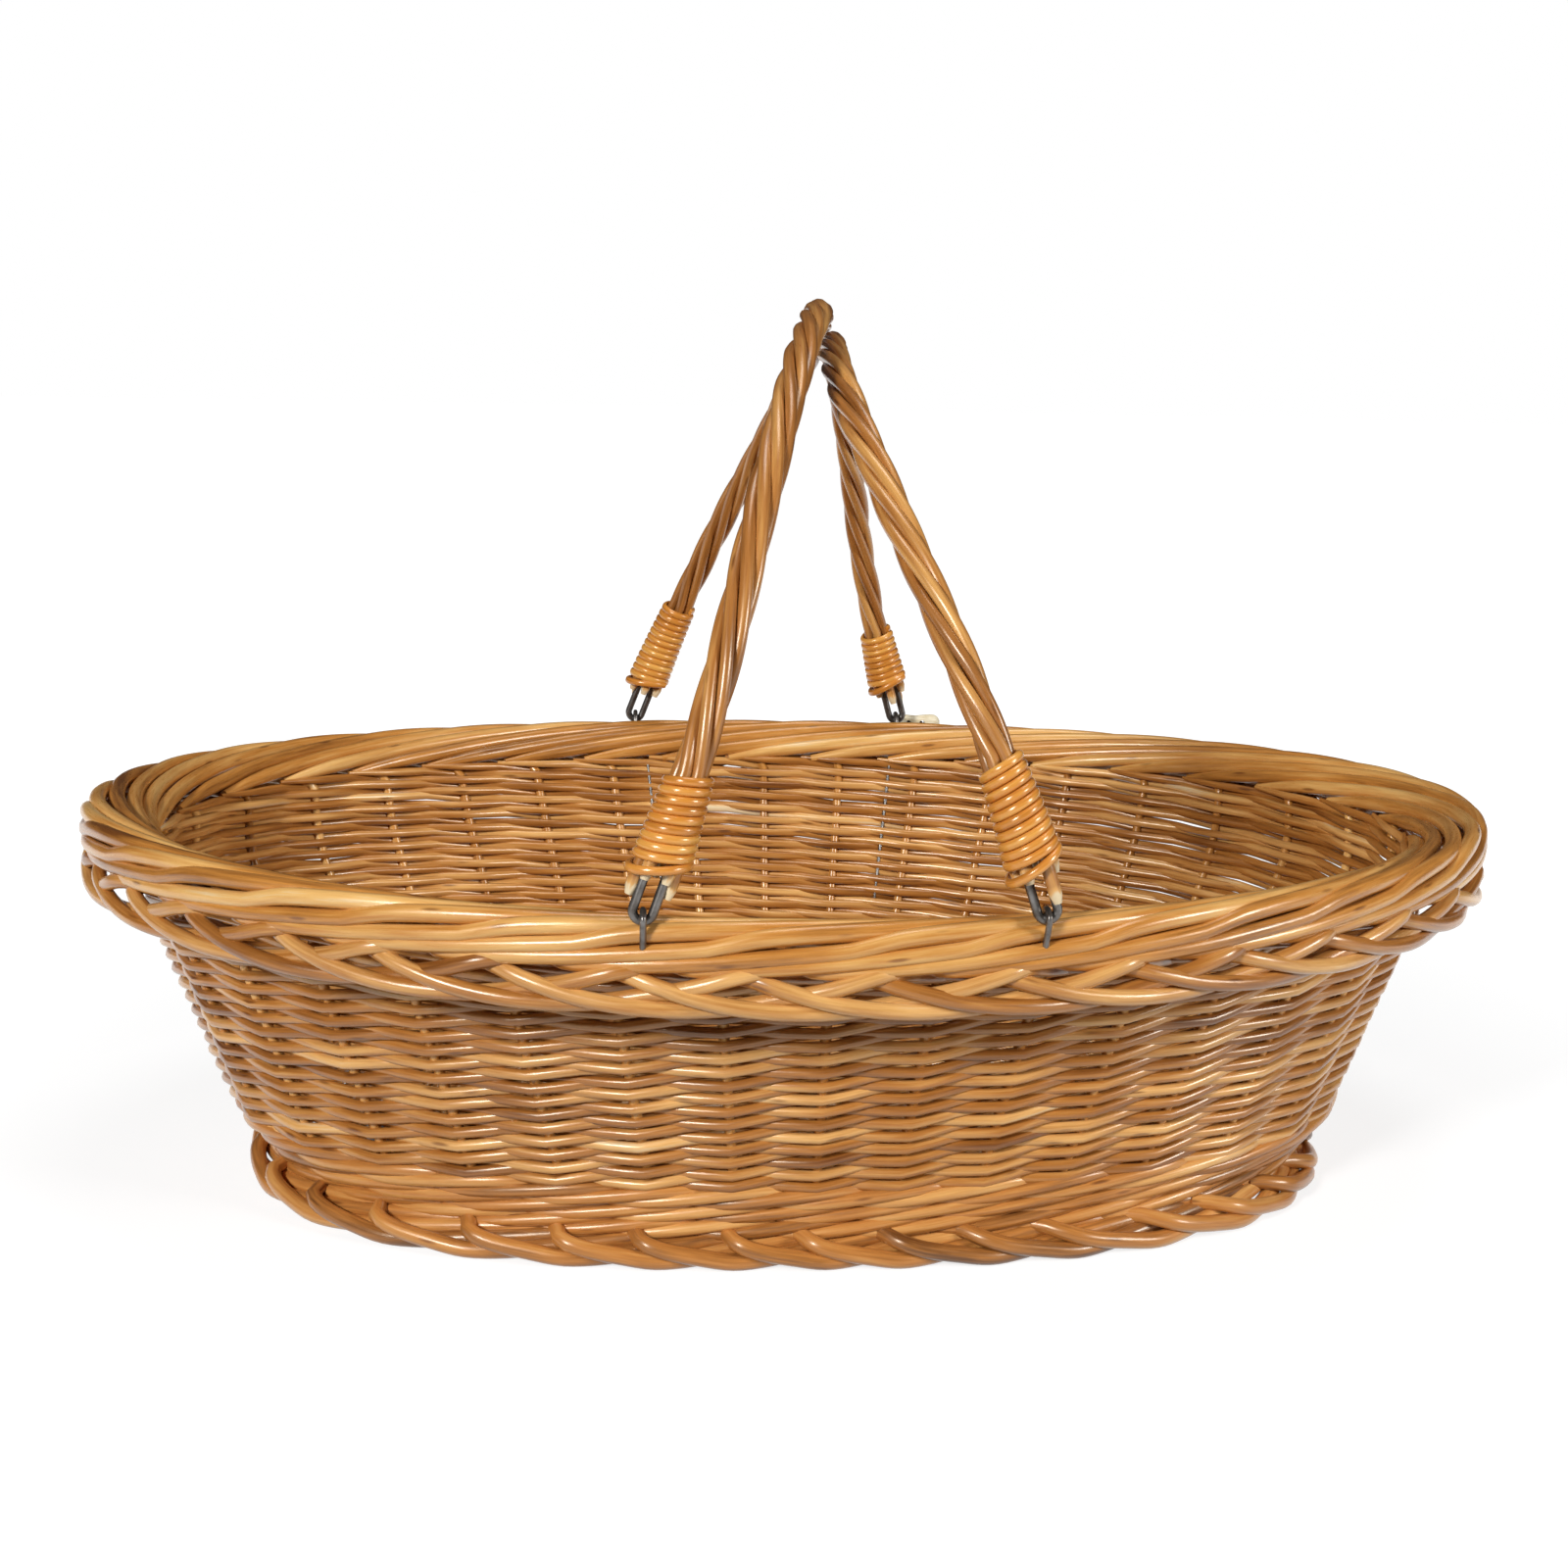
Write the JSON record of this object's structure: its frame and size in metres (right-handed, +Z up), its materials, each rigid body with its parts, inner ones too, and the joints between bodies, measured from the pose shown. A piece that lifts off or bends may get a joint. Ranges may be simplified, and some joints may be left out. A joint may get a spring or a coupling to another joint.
{
  "type": "market basket",
  "caption": "Oval flared willow market basket with a rolled rim border, a braid under it, a foot border and two swinging twisted-rod bow handles.",
  "frame": {"origin": "on the ground under the middle of the foot border", "axes": "+X along the basket's length, +Y to its back long side, +Z up"},
  "size_m": [0.5182, 0.3884, 0.3139],
  "materials": {
    "side_willow": "varnished, semi-gloss",
    "base_willow": "varnished, satin",
    "rim_willow": "varnished, glossy",
    "stick_willow": "varnished, satin",
    "handle_willow": "varnished, glossy",
    "handle_skein": "varnished, high gloss",
    "dark_steel": "drawn wire, darkened",
    "pale_wood": "bare, matt",
    "dark_cord": "matt twine"
  },
  "bodies": {
    "basket": {"side_weave": "side_willow", "bottom_wale": "base_willow", "foot_border": "base_willow", "base_weave": "side_willow", "rim_border_and_stakes": "rim_willow", "rim_braid": "side_willow", "long_stick_1": "stick_willow", "long_stick_2": "stick_willow", "long_stick_3": "stick_willow", "cross_stick_1": "stick_willow", "cross_stick_2": "stick_willow", "cross_stick_3": "stick_willow", "cross_stick_4": "stick_willow", "cross_stick_5": "stick_willow", "cross_stick_6": "stick_willow", "cross_stick_7": "stick_willow", "staple_left_front": "dark_steel", "staple_left_back": "dark_steel", "staple_right_front": "dark_steel", "staple_right_back": "dark_steel", "anchor_toggle": "pale_wood", "toggle_cord": "dark_cord"},
    "left_handle": {"left_rod_1": "handle_willow", "left_rod_2": "handle_willow", "left_rod_3": "handle_willow", "left_rod_4": "handle_willow", "left_rod_5": "handle_willow", "left_front_winding": "handle_skein", "left_back_winding": "handle_skein", "left_front_link": "dark_steel", "left_back_link": "dark_steel"},
    "right_handle": {"right_rod_1": "handle_willow", "right_rod_2": "handle_willow", "right_rod_3": "handle_willow", "right_rod_4": "handle_willow", "right_rod_5": "handle_willow", "right_front_winding": "handle_skein", "right_back_winding": "handle_skein", "right_front_link": "dark_steel", "right_back_link": "dark_steel"}
  },
  "joints": [
    {"name": "left_handle_swing", "type": "hinge", "parent": "basket", "child": "left_handle", "pos_m": [-0.0575, 0, 0.1348], "axis": [0, -1, 0], "range_deg": [0, 86]},
    {"name": "right_handle_swing", "type": "hinge", "parent": "basket", "child": "right_handle", "pos_m": [0.0618, 0, 0.1348], "axis": [0, 1, 0], "range_deg": [0, 91]}
  ]
}
